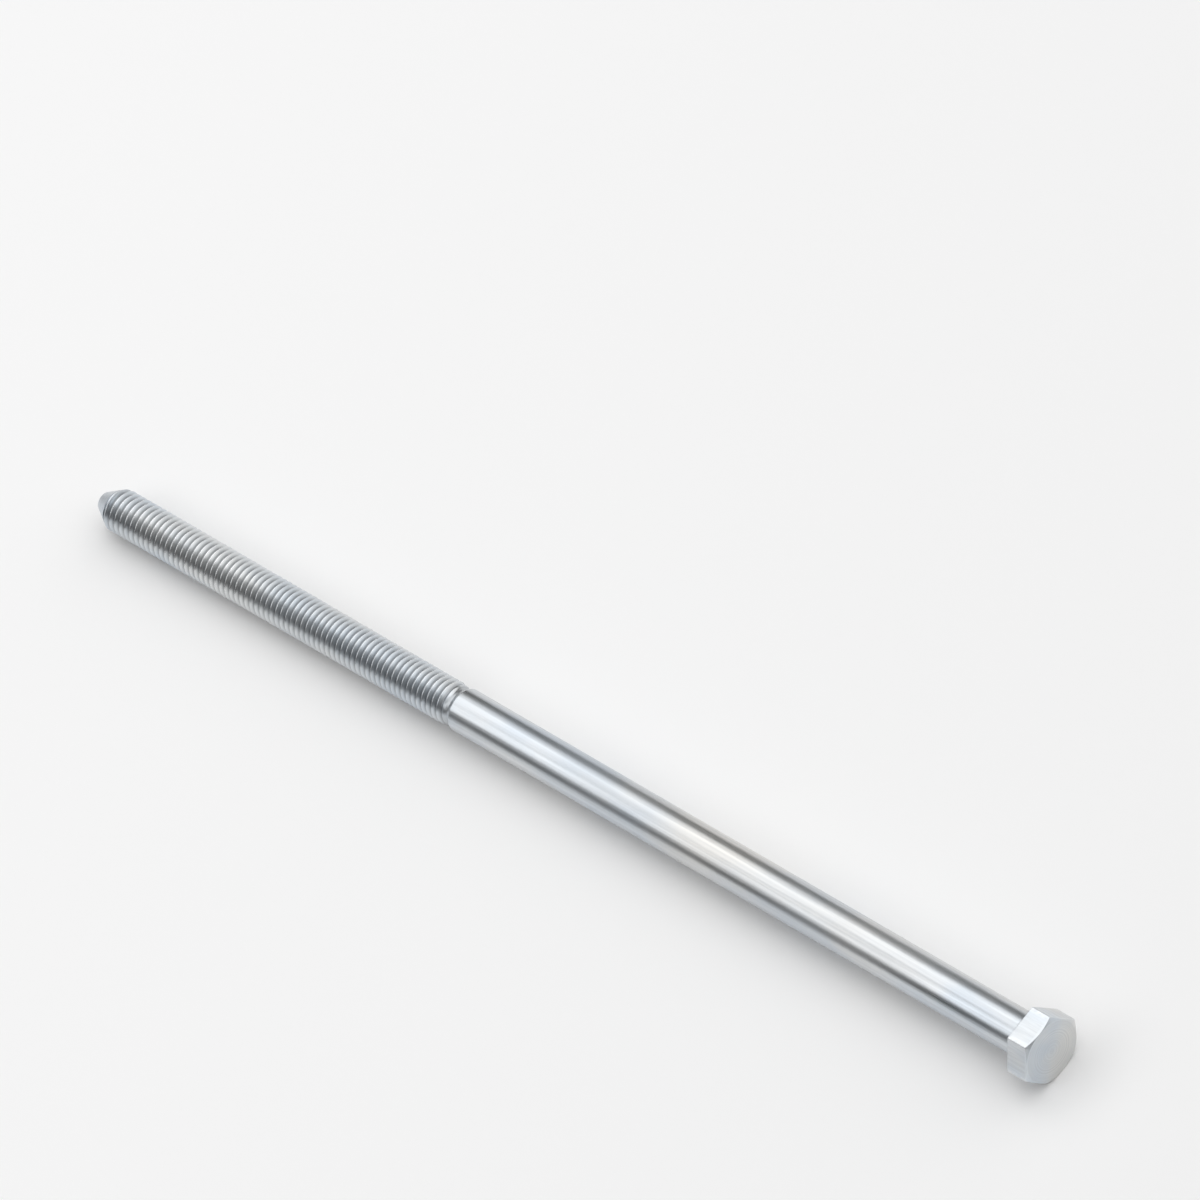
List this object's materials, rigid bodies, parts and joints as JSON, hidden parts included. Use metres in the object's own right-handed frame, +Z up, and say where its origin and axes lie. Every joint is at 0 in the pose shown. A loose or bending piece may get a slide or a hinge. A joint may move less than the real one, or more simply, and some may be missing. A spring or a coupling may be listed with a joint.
{
  "type": "hexagon head cap screw",
  "caption": "Long hexagon head cap screw with a washer face, a plain shank, a part-length thread and a cone point, for clamping thick stacks.",
  "frame": {"origin": "centre of the bearing face under the head, on the screw's axis", "axes": "+X down the shank from the head to the point; +Z up, square to the hexagon flat that the screw lies on, which faces -Z; the hexagon's corners are at +Y and -Y"},
  "size_m": [0.3635, 0.022, 0.019],
  "materials": {
    "plated_steel": "clear bright zinc plate over cold-headed steel, satin"
  },
  "bodies": {
    "root": {"cap_screw": "plated_steel"}
  },
  "joints": []
}
